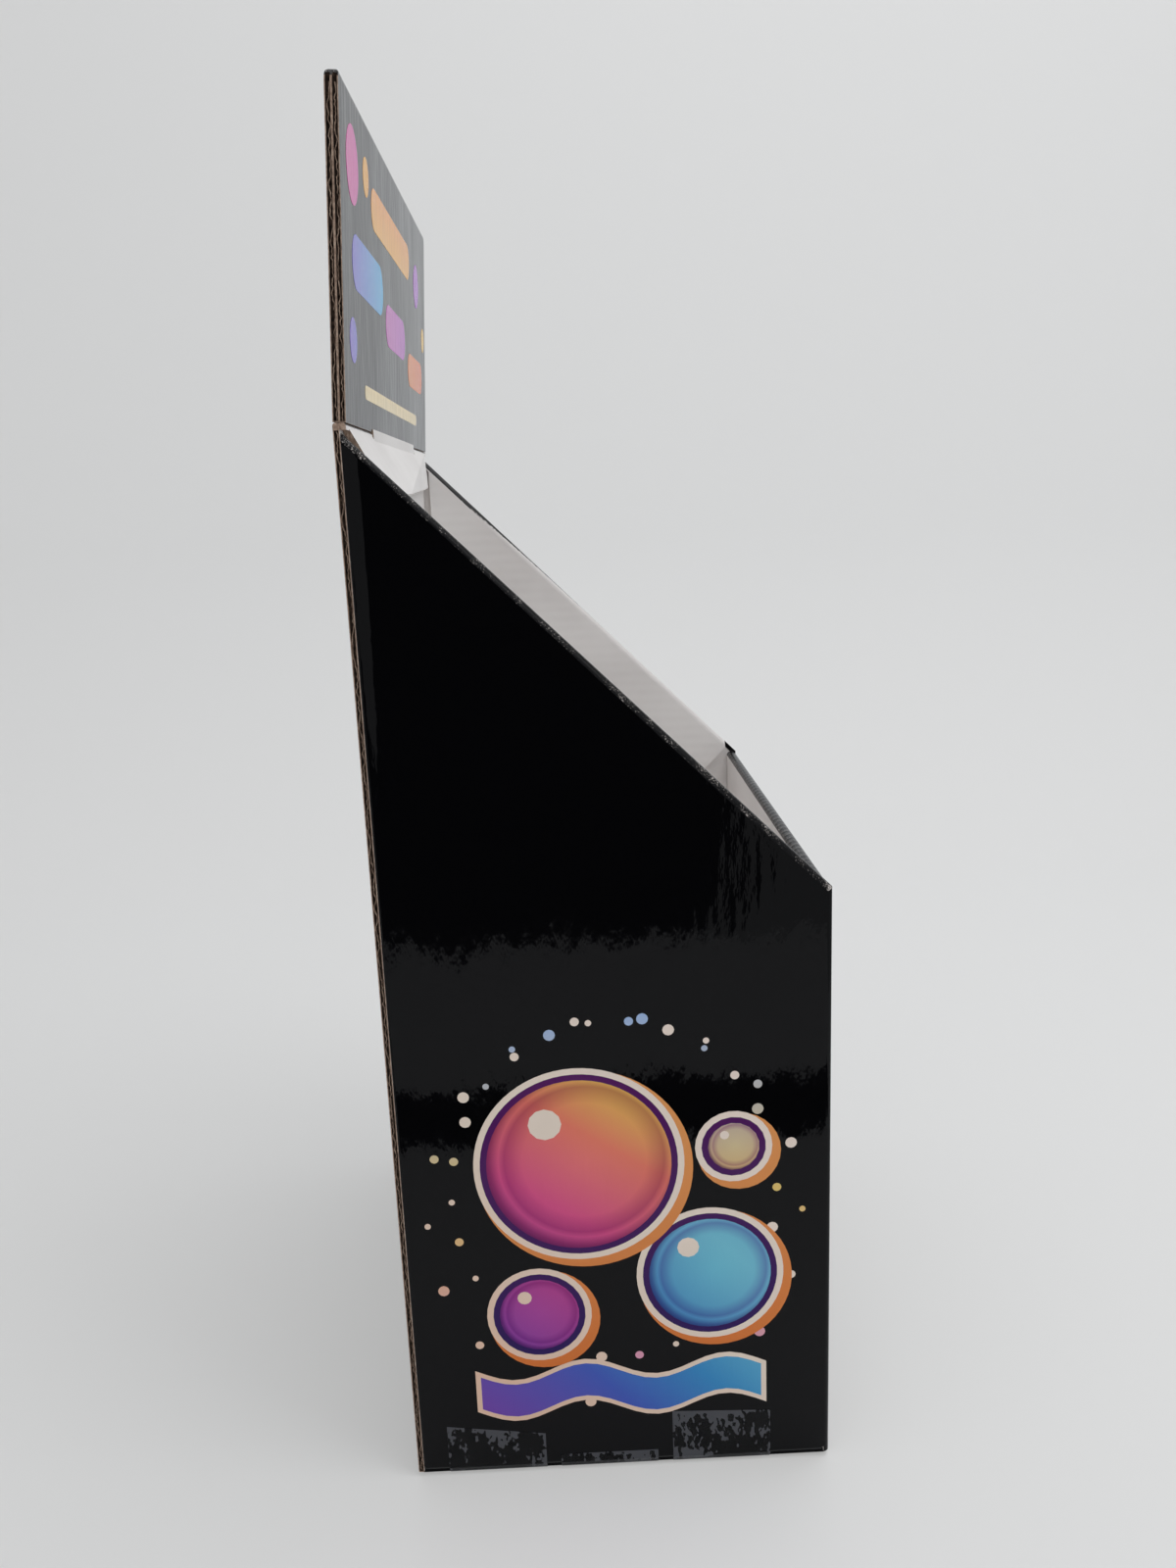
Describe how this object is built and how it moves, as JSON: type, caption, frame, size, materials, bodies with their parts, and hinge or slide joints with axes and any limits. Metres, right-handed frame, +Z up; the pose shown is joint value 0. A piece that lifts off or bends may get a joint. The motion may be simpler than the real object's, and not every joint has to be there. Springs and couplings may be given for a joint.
{
  "type": "cardboard display stand",
  "caption": "Corrugated board display stand: a tall folded box with a slanting open top, a raised floor inside and a header card standing on its back edge.",
  "frame": {"origin": "middle of the footprint, on the surface that the stand rests on", "axes": "+Z up, -Y towards the low front of the stand, X across its width"},
  "size_m": [0.3052, 0.203, 0.6296],
  "materials": {
    "printed_board": "gloss black print on corrugated board, white inside",
    "header_board": "gloss black print on double corrugated board",
    "plain_board": "white lined corrugated board",
    "clear_tape": "clear packing tape",
    "ink_blue": "glossy printing ink",
    "ink_cream": "glossy printing ink",
    "ink_pink": "glossy printing ink",
    "ink_violet": "glossy printing ink",
    "ink_orange": "glossy printing ink",
    "ink_gold": "glossy printing ink"
  },
  "bodies": {
    "root": {"body_blank": "printed_board", "header_card": "header_board", "raised_floor": "plain_board", "tape_rear": "clear_tape", "tape_middle": "clear_tape", "tape_front": "clear_tape", "side_print_blue": "ink_blue", "side_print_cream": "ink_cream", "side_print_pink": "ink_pink", "side_print_violet": "ink_violet", "side_print_orange": "ink_orange", "side_print_gold": "ink_gold", "header_print_blue": "ink_blue", "header_print_pink": "ink_pink", "header_print_orange": "ink_orange", "header_print_cream": "ink_cream"}
  },
  "joints": []
}
